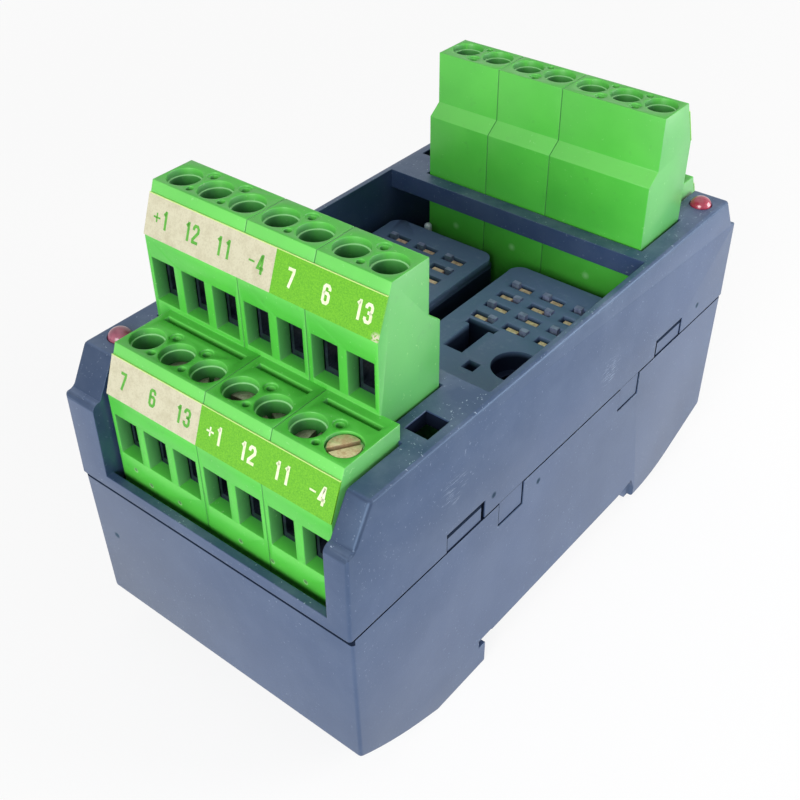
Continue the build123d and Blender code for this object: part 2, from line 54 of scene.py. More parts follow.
def paint(red, green, blue):  # a colour as seen on screen, 0 to 255, as a linear one
    linear = [c / 255 / 12.92 if c <= 10 else ((c / 255 + 0.055) / 1.055) ** 2.4 for c in (red, green, blue)]
    return (*linear, 1.0)


# One socket of a node tree, with arithmetic on it
class Wire:
    def __init__(self, tree, socket):
        self.tree, self.socket = tree, socket

    def maths(self, operation, *items):  # of these items, or of this wire alone
        node = self.tree.nodes.new("ShaderNodeMath")
        node.operation = operation
        for slot, item in zip(node.inputs, items or (self,)):
            plug(self.tree, slot, item)
        return Wire(self.tree, node.outputs[0])

    def __add__(self, other): return self.maths("ADD", self, other)
    def __radd__(self, other): return self.maths("ADD", other, self)
    def __sub__(self, other): return self.maths("SUBTRACT", self, other)
    def __rsub__(self, other): return self.maths("SUBTRACT", other, self)
    def __mul__(self, other): return self.maths("MULTIPLY", self, other)
    def __rmul__(self, other): return self.maths("MULTIPLY", other, self)
    def __truediv__(self, other): return self.maths("DIVIDE", self, other)
    def __lt__(self, other): return self.maths("LESS_THAN", self, other)
    def __gt__(self, other): return self.maths("GREATER_THAN", self, other)
    def __neg__(self): return self.maths("MULTIPLY", self, -1)
    def __abs__(self): return self.maths("ABSOLUTE")
    def larger(self, other): return self.maths("MAXIMUM", self, other)
    def between(self, low, high): return (self > low) * (self < high)


def plug(tree, slot, item):
    if isinstance(item, Wire):
        tree.links.new(item.socket, slot)
    elif item is not None:
        slot.default_value = item


def addNode(tree, kind, settings, values, out=0):
    node = tree.nodes.new(kind)
    for key, value in settings.items():
        if key == "stops":
            for stop, (place, colour) in zip(node.color_ramp.elements, value):
                stop.position, stop.color = place, colour
        else:
            setattr(node, key, value)
    for key, value in values.items():
        plug(tree, node.inputs[key], value)
    return Wire(tree, node.outputs[out])


# A material built from expressions
class Finish:
    def __init__(self, name):
        self.material = bpy.data.materials.new(name)
        self.material.use_nodes = True
        self.tree = self.material.node_tree
        self.shader = self.tree.nodes["Principled BSDF"]
        self.place = self.node("ShaderNodeTexCoord", out="Object")

    def node(self, kind, settings=None, values=None, out=0):
        return addNode(self.tree, kind, settings or {}, values or {}, out)

    def axis(self, name):  # one coordinate of the object's own space, in millimetres
        return self.node("ShaderNodeSeparateXYZ", {}, {0: self.place}, name) * 1000

    def noise(self, size, detail=3.0, rough=0.5, place=None):  # size of the pattern in millimetres
        values = {"Vector": place or self.place, "Scale": 1000 / size, "Detail": detail, "Roughness": rough}
        return self.node("ShaderNodeTexNoise", {}, values, "Fac")

    def patches(self, size, low, high, detail=3.0, rough=0.5, place=None):  # noise sent through a ramp
        return self.ramp(self.noise(size, detail, rough, place), low, high)

    def ramp(self, value, low, high):  # 0 below low, 1 above high
        settings = {"clamp": True}
        values = {"Value": value, "From Min": low, "From Max": high}
        return self.node("ShaderNodeMapRange", settings, values)

    def blend(self, share, first, second):
        return self.node("ShaderNodeMix", {"data_type": "RGBA"}, {0: share, 6: first, 7: second}, 2)

    def near(self, centre, radius, soft):  # 1 within a distance of a point, in millimetres
        settings = {"operation": "DISTANCE"}
        values = {0: self.place, 1: [c * mm for c in centre]}
        distance = self.node("ShaderNodeVectorMath", settings, values, "Value") * 1000
        return self.ramp(distance, radius + soft, radius)

    def facing(self, name):  # one part of the surface's own direction
        normal = self.node("ShaderNodeTexCoord", out="Normal")
        return self.node("ShaderNodeSeparateXYZ", {}, {0: normal}, name)

    def stretched(self, scale):  # the place with a scale of its own along each axis
        return self.node("ShaderNodeMapping", {}, {"Vector": self.place, "Scale": scale})

    def rounded(self, radius):  # shades edges as if they had this radius, in millimetres
        return self.node("ShaderNodeBevel", {"samples": 6}, {"Radius": radius * mm})

    def bump(self, height, depth, base=None):  # depth in millimetres
        values = {"Height": height, "Distance": depth * mm, "Normal": base}
        return self.node("ShaderNodeBump", {}, values)

    def finish(self, **sockets):
        for key, value in sockets.items():
            plug(self.tree, self.shader.inputs[key.replace("_", " ")], value)
        return self.material


# Dark blue-grey plastic: dust on its level faces and a few scratches, and painted shade on its sloped faces,
# in a few dimples and in the gaps at the seam, the snap tabs and the square hole. A pattern is given by its
# size, start, full value, detail and roughness
housingLook = {
    "colour": paint(50, 67, 104),
    "shade": paint(42, 58, 92),
    "dust": paint(168, 182, 202),
    "sheen": (0.6, 0.83, 1.0, 1.0),
    # painted shade for the sloped faces, the dimples and the gaps
    "paintedShade": paint(34, 44, 66),
    "tone": (26, 0.3, 0.7, 2),
    "slopeShade": 0.55,
    "film": (7, 0.42, 0.7, 5, 0.65),
    "filmShare": (0.05, 0.12),  # everywhere, and more on level faces
    "specks": (0.4, 0.66, 0.70, 2, 0.7),
    "speckAreas": (5, 0.38, 0.55),
    "speckShare": (0.25, 0.55),
    "pits": ((22.5, -17.13, 31.15), (22.5, -6.88, 26.09), (22.5, 34.79, 31.3), (-18.86, -43.1, 18.98)),
    "pitSize": (0.3, 0.25),
    "pitDepth": 0.6,
    "scratches": ((22.5, -25.2, 37.9), (22.5, 9.5, 34.0)),
    "scratchSize": (1.2, 1.6),
    "scratchLines": (0.22, 0.62, 0.66, 1, 0.4),
    "scratchStretch": (1, 0.12, 2.5),
    "scratchShare": 0.5,
    # painted shade in the gaps
    "gap": paint(20, 28, 50),
    "seam": {"bottom": 27.8, "rim": 28.54, "top": 28.81, "end": 42.9},
    "tabs": {"bottom": 24.4, "shadow": 30.8, "top": 31.7, "depth": (20.0, 22.365, 22.4), "reach": 32.0},
    "hole": {"x": (17.7, 21.1), "y": (24.3, 28.5), "z": (44.4, 46.4)},
    "roughness": 0.29,
    "rougher": (0.14, 0.1, 0.5, 0.15),  # where smeared, level, dark and sloped
    "dulled": (0.85, 0.35),  # where hollow and sloped
    "smear": (14, 4, 0.6),
    "grain": 0.16,
    "grainDepth": 0.01,
    "softEdge": 0.16,
}


# Painted shade: the seam's gap and its shadow on the base's front and back walls, the gaps around the snap
# tabs, a painted shadow line under each tab's top edge, and the square hole
def housingGapShade(x, y, z):  # 1 in the open gaps, where hardly any light comes back
    seam, tabs, hole = housingLook["seam"], housingLook["tabs"], housingLook["hole"]
    atEnds = z.between(seam["bottom"], seam["rim"]) * (y > seam["end"])
    seamShade = atEnds + z.between(seam["rim"], seam["top"])
    deep, sunk, proud = tabs["depth"]
    shadeAroundTabs = z.between(tabs["bottom"], tabs["top"]) * x.between(deep, sunk)
    shadowUnderEdge = z.between(tabs["shadow"], tabs["top"]) * x.between(sunk, proud)
    inHole = x.between(*hole["x"]) * y.between(*hole["y"]) * z.between(*hole["z"])
    return seamShade.larger((shadeAroundTabs + shadowUnderEdge) * (y < tabs["reach"]) + inHole)


def housingFinish():
    look = housingLook
    f = Finish("housingPlastic")
    rise = f.facing("Z")
    level = f.ramp(rise, 0.6, 0.95)
    sloped = f.ramp(rise, 0.12, 0.3) * f.ramp(rise, 0.95, 0.8)
    colour = f.blend(f.patches(*look["tone"]), look["shade"], look["colour"])
    # painted shade on the sloped faces
    colour = f.blend(sloped * look["slopeShade"], colour, look["paintedShade"])
    film = f.patches(*look["film"])
    least, more = look["filmShare"]
    colour = f.blend(film * (least + more * level), colour, look["dust"])
    specks = f.patches(*look["specks"]) * f.patches(*look["speckAreas"])
    least, more = look["speckShare"]
    colour = f.blend(specks * (least + more * level), colour, look["dust"])
    # dimples: a slight dip by bump, with painted shade in each
    pits = 0
    for spot in look["pits"]:
        pits = f.near(spot, *look["pitSize"]) + pits
    lines = f.patches(*look["scratchLines"], f.stretched(look["scratchStretch"]))
    scratches = 0
    for spot in look["scratches"]:
        scratches = f.near(spot, *look["scratchSize"]) * lines + scratches
    colour = f.blend(scratches * look["scratchShare"], colour, look["dust"])
    dark = housingGapShade(abs(f.axis("X")), abs(f.axis("Y")), f.axis("Z"))
    # painted shade in the dimples and the gaps
    shadedHollows = pits.larger(dark)
    colour = f.blend(shadedHollows, colour, look["paintedShade"])
    # the gaps painted dark as shade
    colour = f.blend(dark, colour, look["gap"])
    roughness = look["roughness"]
    for share, mask in zip(look["rougher"], (f.noise(*look["smear"]), level, dark, sloped)):
        roughness = roughness + share * mask
    inHollow, onSlope = look["dulled"]
    relief = f.noise(look["grain"], 2) - look["pitDepth"] * pits
    return f.finish(
        Base_Color=colour,
        Roughness=roughness,
        # Metallic dims the reflection where shade is painted
        Metallic=inHollow * shadedHollows + onSlope * sloped,  # takes the plastic's shine away where it is dark
        Specular_IOR_Level=0.95,
        Specular_Tint=look["sheen"],
        Normal=f.bump(relief, look["grainDepth"], f.rounded(look["softEdge"])),
    )


greenLook = {
    "colour": paint(84, 190, 68),
    "shade": paint(72, 176, 60),
    # painted light on the sloped faces
    "slopeHighlight": paint(146, 226, 128),
    # painted sheen on faces that point sideways
    "paintedSideSheen": paint(96, 132, 112),
    # painted highlight on the bores' ledges and the glints
    "ledgeHighlight": paint(170, 228, 166),
    # real grime, also used for painted shade in the ejector pin marks
    "grimeAndShade": paint(66, 120, 66),
    # painted shade deep in bores, windows and chambers
    "depth": paint(20, 44, 56),
    "speck": paint(186, 226, 170),
    # painted highlight on the ejector pin marks' rims
    "markHighlight": paint(176, 214, 160),
    "tone": (9, 0.3, 0.7),
    "grimePatches": (2.2, 0.60, 0.74, 5, 0.7),
    "specks": (0.5, 0.68, 0.73, 2, 0.7),
    "share": {
        "grimeAndShade": 0.3, "slopeHighlight": 0.3, "paintedSideSheen": 0.42, "speck": 0.25,
        "markHighlight": 0.6, "markShade": 0.8, "glint": 0.5, "ledgeHighlight": 0.75,
    },
    "glints": ((-11.1, 20.0, 39.5), (-1.0, 20.0, 39.5), (11.5, 20.0, 39.5)),
    "glintSize": (0.15, 0.55),
    "markFace": -41.45,
    "rimSize": (0.32, 0.08),
    "floorSize": (0.22, 0.1),
    "floorRise": 0.08,
    "roughness": (0.26, 0.18, 0.3),  # and more where smeared and deep inside
    "softEdge": 0.18,
    "marks": ((-14.1, 31.9), (-11.5, 30.8), (-6.4, 30.9), (3.9, 30.9), (9.0, 30.9), (14.1, 30.9)),
}


# Green terminal plastic, with painted light: an attribute rises from 0 outside to 1 deep in bores, windows
# and chambers and paints shade there; sloped faces get painted light, sideways faces a painted sheen, the
# bores' ledges and three spots on the wall at the well painted highlights, and the ejector pin marks a
# painted highlight and shade
def greenFinish():
    look, share = greenLook, greenLook["share"]
    f = Finish("greenTerminalPlastic")
    colour = f.blend(f.patches(*look["tone"]), look["shade"], look["colour"])
    colour = f.blend(f.patches(*look["grimePatches"]) * share["grimeAndShade"], colour, look["grimeAndShade"])
    rise = f.facing("Z")
    # painted light: sloped faces lighter
    sloped = f.ramp(rise, 0.1, 0.3) * f.ramp(rise, 0.95, 0.75)
    colour = f.blend(sloped * share["slopeHighlight"], colour, look["slopeHighlight"])
    sideways = f.ramp(abs(f.facing("X")), 0.7, 0.95)
    # painted sheen on the sideways faces
    colour = f.blend(sideways * share["paintedSideSheen"], colour, look["paintedSideSheen"])
    colour = f.blend(f.patches(*look["specks"]) * share["speck"], colour, look["speck"])
    # ejector pin marks: a painted highlight on each rim and painted shade on each floor
    for x, z in look["marks"]:  # left by the ejector pins
        rim = f.near((x, look["markFace"], z), *look["rimSize"])
        floor = f.near((x, look["markFace"], z + look["floorRise"]), *look["floorSize"])
        colour = f.blend(rim * share["markHighlight"], colour, look["markHighlight"])
        colour = f.blend(floor * share["markShade"], colour, look["grimeAndShade"])
    # painted highlights on the wall at the well
    for spot in look["glints"]:
        colour = f.blend(f.near(spot, *look["glintSize"]) * share["glint"], colour, look["ledgeHighlight"])
    shadedInside = f.node("ShaderNodeAttribute", {"attribute_name": "shadedInside"}, {}, "Fac")
    # painted shade deep in bores, windows and chambers
    colour = f.blend(shadedInside, colour, look["depth"])
    # painted highlight on the bores' ledges
    ledgeHighlight = f.node("ShaderNodeAttribute", {"attribute_name": "ledgeHighlight"}, {}, "Fac")
    colour = f.blend(ledgeHighlight * share["ledgeHighlight"], colour, look["ledgeHighlight"])
    least, smeared, deeper = look["roughness"]
    return f.finish(
        Base_Color=colour,
        Roughness=least + smeared * f.noise(4, 4) + deeper * shadedInside,
        Normal=f.bump(f.noise(0.35, 2), 0.006, f.rounded(look["softEdge"])),
        Specular_IOR_Level=0.38,
        Subsurface_Weight=0.12,
        Subsurface_Radius=(0.4, 1.0, 0.3),
        Subsurface_Scale=0.0012,
    )


darkLook = {
    "dust": paint(150, 165, 190),
    "dustPatches": (1.1, 0.55, 0.75, 4, 0.7),
    "dustShare": 0.25,
    # painted shade in the openings below the top
    "deep": paint(22, 32, 58),
    "deepShadeShare": 0.9,
    "fade": (0.2, 0.9),  # where it starts and is full, below the top
    "dulled": 0.7,
    "rougher": 0.15,
    "softEdge": 0.12,
}


# Dark plastic, with painted shade that darkens the openings below its top
def darkFinish(name, colour, roughness, top=None):
    look = darkLook
    f = Finish(name)
    tone = f.blend(f.patches(*look["dustPatches"]) * look["dustShare"], colour, look["dust"])
    if top is not None:
        start, full = look["fade"]
        deep = f.ramp(f.axis("Z"), top - start, top - full)
        tone = f.blend(deep * look["deepShadeShare"], tone, look["deep"])
        f.finish(Metallic=deep * look["dulled"])
    return f.finish(
        Base_Color=tone,
        Roughness=roughness + look["rougher"] * f.noise(3, 3),
        Normal=f.bump(f.noise(0.3, 2), 0.006, f.rounded(look["softEdge"])),
    )


metalLook = {"stains": (0.42, 0.68, 5, 0.65), "dulled": 0.35, "rougher": 0.25, "grain": 0.25, "depth": 0.008}


def metalFinish(name, bright, stain, roughness, size):
    look = metalLook
    f = Finish(name)
    stains = f.patches(size, *look["stains"])
    return f.finish(
        Base_Color=f.blend(stains, bright, stain),
        Metallic=1.0 - look["dulled"] * stains,
        Roughness=roughness + look["rougher"] * stains,
        Normal=f.bump(f.noise(look["grain"]), look["depth"]),
    )


# The screws sunk in their bores take a darker copy of the metal as painted shade; the one backed out shows
# its brass
screwLook = {
    "shaded": (paint(176, 172, 156), paint(112, 98, 76), paint(84, 56, 40)),
    "brass": (paint(222, 206, 166), paint(178, 142, 100), paint(120, 66, 44)),
    "rings": 260,
    "ringHeight": 0.25,
    "slotEdge": (0.09, 0.06),
    "tarnish": (0.8, 0.42, 0.62, 5, 0.7),
    "tarnishShare": 0.6,
    "rust": (0.5, 0.25, 0.5, 4),
    "rustShare": 0.85,
    "metallic": (0.85, 0.6),  # and less where rusty
    "roughness": (0.34, 0.3),  # and more where tarnished
}


def screwFinish(name):
    look = screwLook
    bright, tarnished, rusty = look[name]
    f = Finish(name + "ScrewMetal")
    flat = f.node("ShaderNodeUVMap", {"uv_map": "face"})
    u = f.node("ShaderNodeSeparateXYZ", {}, {0: flat}, "X") - 0.5
    v = f.node("ShaderNodeSeparateXYZ", {}, {0: flat}, "Y") - 0.5
    reach = (u * u + v * v).maths("SQRT")
    rings = (reach * look["rings"]).maths("SINE")
    tarnish = f.patches(*look["tarnish"])
    colour = f.blend(tarnish * look["tarnishShare"], bright, tarnished)
    rust = f.ramp(abs(v), *look["slotEdge"]) * f.patches(*look["rust"])
    colour = f.blend(rust * look["rustShare"], colour, rusty)
    most, less = look["metallic"]
    least, more = look["roughness"]
    return f.finish(
        Base_Color=colour,
        Metallic=most - less * rust,
        Roughness=least + more * tarnish,
        Normal=f.bump(rings * look["ringHeight"] + f.noise(0.3, 4), 0.02),
    )


stripLook = {
    "cream": paint(196, 192, 166),
    "creamShade": paint(178, 172, 144),
    "green": paint(108, 182, 28),
    "greenDark": paint(82, 158, 18),
    "edge": paint(190, 216, 130),
    "edgeWidth": 0.1,
    "creamPatches": (1.6, 0.45, 0.72, 5, 0.7),
    "creamDots": (0.2, 0.5, 0.66, 2),
    "creamDotShare": 0.5,
    "greenDots": (0.17, 0.36, 0.66, 3, 0.6),
    "wornSize": (0.35, 0.4),
    "wornPatches": (0.35, 0.42, 0.5),
}


# Film printed cream on one part and green on the other, with a pale line along its upper edge
def stripFinish(name, split, top, wornAt=None):
    look = stripLook
    f = Finish(name)
    x, z = f.axis("X"), f.axis("Z")
    cream = f.blend(f.patches(*look["creamPatches"]), look["cream"], look["creamShade"])
    cream = f.blend(f.patches(*look["creamDots"]) * look["creamDotShare"], cream, look["creamShade"])
    green = f.blend(f.patches(*look["greenDots"]), look["greenDark"], look["green"])
    colour = f.blend(x > split, cream, green)
    colour = f.blend(z > top - look["edgeWidth"], colour, look["edge"])
    if wornAt:
        worn = f.near(wornAt, *look["wornSize"]) * f.patches(*look["wornPatches"])
        colour = f.blend(worn, colour, look["cream"])
    return f.finish(Base_Color=colour, Roughness=0.42, Normal=f.bump(f.noise(0.5, 3), 0.01))


def plainFinish(name, colour, second, size, roughness, **more):
    f = Finish(name)
    tone = f.blend(f.patches(size, 0.35, 0.7, 4), colour, second)
    return f.finish(Base_Color=tone, Roughness=roughness, **more)


# Contacts: a brass blade in the front half of each cell and a grey support behind it
contactLook = {
    "rowPitch": 3.0,
    "firstRow": 3.5,
    "cell": 1.5,
    "blade": 0.72,
    "brass": (paint(240, 206, 178), paint(196, 158, 130)),
    "grey": (paint(146, 156, 190), paint(112, 122, 156)),
    "brassPatches": (0.6, 0.4, 0.65, 4),
    "greyPatches": (0.7, 0.4, 0.7),
    "metallic": 0.35,
}


def contactFinish():
    look = contactLook
    f = Finish("relayContact")
    start = look["firstRow"] - look["cell"] / 2
    inRow = ((f.axis("Y") - start) / look["rowPitch"]).maths("FRACT")
    support = inRow > look["blade"] / look["rowPitch"]
    brass = f.blend(f.patches(*look["brassPatches"]), *look["brass"])
    grey = f.blend(f.patches(*look["greyPatches"]), *look["grey"])
    return f.finish(
        Base_Color=f.blend(support, brass, grey),
        Metallic=look["metallic"] - look["metallic"] * support,
        Roughness=0.38,
    )


print("finishes")
housingPlastic = housingFinish()
greenPlastic = greenFinish()
socketPlastic = darkFinish("socketPlastic", paint(90, 114, 150), 0.42, 39.1)
latchPlastic = darkFinish("latchPlastic", paint(44, 54, 76), 0.5)
boardGreen = plainFinish("boardMask", paint(44, 82, 84), paint(34, 66, 70), 5, 0.45)
cageSteel = metalFinish("cageSteel", paint(74, 86, 104), paint(34, 42, 58), 0.35, 1.2)
shadedScrewMetal = screwFinish("shaded")
brassScrewMetal = screwFinish("brass")
contactMetal = contactFinish()
leadTin = metalFinish("leadTin", paint(190, 190, 188), paint(140, 138, 132), 0.35, 1.0)
springSteel = metalFinish("springSteel", paint(176, 178, 180), paint(120, 120, 120), 0.3, 2.0)
lampRed = plainFinish("lampRed", paint(172, 56, 82), paint(142, 34, 58), 1.2, 0.2, Coat_Weight=0.5)
lampDull = plainFinish("lampDull", paint(158, 84, 104), paint(124, 58, 78), 1.0, 0.3, Coat_Weight=0.3)
pipeClear = plainFinish("pipeClear", paint(196, 206, 214), paint(170, 182, 194), 0.8, 0.1, Coat_Weight=0.8)
inkWhite = plainFinish("inkWhite", paint(228, 232, 204), paint(206, 216, 170), 0.6, 0.5)
inkGreen = plainFinish("inkGreen", paint(70, 150, 40), paint(92, 166, 56), 0.5, 0.5)


def newObject(name, mesh):
    piece = bpy.data.objects.new(name, mesh)
    bpy.context.scene.collection.objects.link(piece)
    return piece


def pieceFrom(shape, name):  # an object from a finished bmesh
    mesh = bpy.data.meshes.new(name)
    shape.to_mesh(mesh)
    shape.free()
    return newObject(name, mesh)


def smooth(mesh, angle):  # all but the edges sharper than this
    for face in mesh.polygons:
        face.use_smooth = True
    mesh.set_sharp_from_angle(angle=math.radians(angle))


# The object with its modifiers worked out, as a plain mesh at the origin
def settled(piece, name):
    bpy.context.view_layer.update()
    graph = bpy.context.evaluated_depsgraph_get()
    mesh = bpy.data.meshes.new_from_object(piece.evaluated_get(graph))
    mesh.name = name
    smooth(mesh, 30)
    bpy.data.objects.remove(piece)
    return newObject(name, mesh)


def dress(piece, material):
    piece.data.materials.clear()
    piece.data.materials.append(material)


def inPlace(piece, body, slot, *nodes):
    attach(piece, body)
    if nodes:
        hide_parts(*nodes)


def addBevel(piece, width, segments=2, angle=34):
    bevel = piece.modifiers.new("edges", "BEVEL")
    bevel.width = width * mm
    bevel.segments = segments
    bevel.limit_method = "ANGLE"
    bevel.angle_limit = math.radians(angle)
    bevel.miter_outer = "MITER_ARC"
    bevel.use_clamp_overlap = True


# A copy of a moulding from the model: its triangles joined to flat faces, and its long outer edges rounded
def mergedCopy(node, width=0, shortest=1.0):
    shape = bmesh.new()
    shape.from_mesh(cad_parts[node].data)
    bmesh.ops.remove_doubles(shape, verts=shape.verts, dist=0.002 * mm)
    bmesh.ops.dissolve_limit(shape, angle_limit=math.radians(1), verts=shape.verts, edges=shape.edges)
    if width:
        sharp = math.radians(34)
        edges = [e for e in shape.edges if e.is_convex and e.calc_face_angle() > sharp]
        edges = [e for e in edges if e.calc_length() > shortest * mm]
        bmesh.ops.bevel(shape, geom=edges, offset=width * mm, offset_type="OFFSET", segments=2, profile=0.5,
                        affect="EDGES")
    return pieceFrom(shape, node + "_copy")


# A prism along X from an outline in Y and Z, all in millimetres
def prism(name, outline, left, right):
    shape = bmesh.new()
    ends = [[shape.verts.new((x * mm, y * mm, z * mm)) for y, z in outline] for x in (left, right)]
    shape.faces.new(ends[0])
    shape.faces.new(reversed(ends[1]))
    for index in range(len(outline)):
        after = (index + 1) % len(outline)
        shape.faces.new((ends[0][after], ends[0][index], ends[1][index], ends[1][after]))
    bmesh.ops.recalc_face_normals(shape, faces=shape.faces)
    return pieceFrom(shape, name)


def cutAway(piece, cutter, operation="DIFFERENCE"):
    boolean = piece.modifiers.new("cut", "BOOLEAN")
    boolean.operation = operation
    boolean.solver = "EXACT"
    boolean.object = cutter


def setInputs(modifier, values):
    for item in modifier.node_group.interface.items_tree:
        if item.item_type == "SOCKET" and item.in_out == "INPUT" and item.name in values:
            modifier[item.identifier] = values[item.name]


# A Geometry Nodes tree with its lengths and other sizes as named inputs
class ShapeTree:
    def __init__(self, name, lengths, others):
        self.tree = bpy.data.node_groups.new(name, "GeometryNodeTree")
        kinds = {"Geometry": "NodeSocketGeometry"} | dict.fromkeys(lengths, "NodeSocketFloat") | others
        for label, kind in kinds.items():
            self.tree.interface.new_socket(label, in_out="INPUT", socket_type=kind)
        self.tree.interface.new_socket("Geometry", in_out="OUTPUT", socket_type="NodeSocketGeometry")
        given = self.tree.nodes.new("NodeGroupInput")
        self.value = {socket.name: Wire(self.tree, socket) for socket in given.outputs if socket.name}

    def node(self, kind, settings=None, values=None):
        return addNode(self.tree, kind, settings or {}, values or {})

    def point(self, x, y, z):
        return self.node("ShaderNodeCombineXYZ", {}, {0: x, 1: y, 2: z})

    def cylinder(self, sides, radius, depth):
        values = {"Vertices": sides, "Radius": radius, "Depth": depth}
        return self.node("GeometryNodeMeshCylinder", {}, values)

    def block(self, width, length, height):
        return self.node("GeometryNodeMeshCube", {}, {"Size": self.point(width, length, height)})

    def row(self, count, start, step, shape):  # the shape at each point of a line
        values = {"Count": count, "Start Location": start, "Offset": step}
        line = self.node("GeometryNodeMeshLine", {}, values)
        return self.node("GeometryNodeInstanceOnPoints", {}, {"Points": line, "Instance": shape})

    def cut(self, body, cutters):
        cutters = self.node("GeometryNodeRealizeInstances", {}, {"Geometry": cutters})
        settings = {"operation": "DIFFERENCE", "solver": "EXACT"}
        return self.node("GeometryNodeMeshBoolean", settings, {"Mesh 1": body, "Mesh 2": cutters})

    def finish(self, shape):
        shape = self.node("GeometryNodeRealizeInstances", {}, {"Geometry": shape})
        values = {"Geometry": shape, "Material": self.value["Material"]}
        shape = self.node("GeometryNodeSetMaterial", {}, values)
        plug(self.tree, self.tree.nodes.new("NodeGroupOutput").inputs[0], shape)
        return self.tree


# Cuts one cutter shape per pole into a terminal moulding: a screw bore with its lip, a wire window with
# the chamber behind it, and the small marks between neighbouring poles
def buildPoleTree():
    lengths = ("Pitch", "First X", "Row Y", "Top", "Bore", "Lip", "Lip Depth", "Window Width",
               "Window Height", "Window Floor", "Face Y", "Frame", "Chamber Width", "Chamber Height",
               "Chamber Length", "Probe", "Probe Y", "Probe Depth", "Mark", "Mark Y", "Mark Depth")
    g = ShapeTree("cutPoles", lengths, {"Poles": "NodeSocketInt", "Material": "NodeSocketMaterial"})
    v = g.value

    def drill(radius, depth, sides=48):  # stands out above its place and reaches depth below it
        return g.cylinder(sides, radius, depth * 2)

    def cutRow(body, count, x, y, z, cutter):  # the cutter once for each pole, from this place on
        return g.cut(body, g.row(count, g.point(x, y, z), g.point(v["Pitch"], 0.0, 0.0), cutter))

    x, y, top = v["First X"], v["Row Y"], v["Top"]
    floor, high = v["Window Floor"], v["Window Height"]
    middle = floor + high * 0.5
    proud = 0.6 * mm  # of a window's cutter, past the frame
    body = cutRow(v["Geometry"], v["Poles"], x, y, top, drill(v["Lip"], top - middle))
    body = cutRow(body, v["Poles"], x, y, top, drill(v["Bore"], v["Lip Depth"]))
    window = g.block(v["Window Width"], v["Frame"] * 2 + proud, high)
    body = cutRow(body, v["Poles"], x, v["Face Y"], middle, window)
    chamber = g.block(v["Chamber Width"], v["Chamber Length"], v["Chamber Height"])
    back = v["Face Y"] + v["Frame"] + v["Chamber Length"] * 0.5
    body = cutRow(body, v["Poles"], x, back, floor + v["Chamber Height"] * 0.5, chamber)
    between, gaps = x + v["Pitch"] * 0.5, v["Poles"] - 1
    body = cutRow(body, gaps, between, v["Probe Y"], top, drill(v["Probe"], v["Probe Depth"], sides=20))
    body = cutRow(body, gaps, between, v["Mark Y"], top, drill(v["Mark"], v["Mark Depth"], sides=28))
    body = cutRow(body, gaps, between, v["Mark Y"], top, drill(v["Probe"], v["Probe Depth"], sides=20))
    return g.finish(body)


terminals = {
    "pitch": 5.08,
    "shift": 0.95,
    "poles": (3, 2, 2),
    "floor": 27.0,
    "face": (41.45, 30.45),
    "back": (30.45, 20.0),
    "top": (48.75, 64.4),
    "row": (36.25, 25.4),
    "slope": (2.4, 6.25),
    "overlap": 0.3,  # of the lower tier with the upper one
    "upperTopBack": 22.0,
    "stepHeight": 57.1,
    "stepDrop": 1.5,
    "gap": 0.1,
    "window": (3.8, 6.0),  # width and height
    "windowDrop": 9.0,
    "frame": 1.9,
    "chamber": (4.3, 6.9, 6.9),  # width, height and length
    "bore": 2.15,
    "lip": 1.92,
    "lipDepth": 0.85,
    "probe": 0.5,
    "probeDepth": 1.6,
    "probeRow": 1.6,
    "mark": 0.85,
    "markDepth": 0.18,
    "markRow": 2.2,
    "slot": (0.85, 1.2, 32.0, 1.1),  # width, depth, row and inset at the ends
    "edge": 0.11,
}
blockNames = ("left", "middle", "right")


def leftOf(pole, tier):
    t = terminals
    return t["shift"] - sum(t["poles"]) * t["pitch"] / 2 + pole * t["pitch"] - tier * t["pitch"] / 2


def tierOutline(tier):
    t = terminals
    face, back, top = -t["face"][tier], -t["back"][tier], t["top"][tier]
    run, drop = t["slope"]
    outline = [(face, t["floor"]), (face, top - drop), (face + run, top)]
    if tier:
        step = (-t["upperTopBack"], t["stepHeight"])
        outline += [(step[0], top), step, (back, t["stepHeight"] - t["stepDrop"])]
    else:
        outline += [(back + t["overlap"], top)]
    outline.append((outline[-1][0], t["floor"]))
    return outline


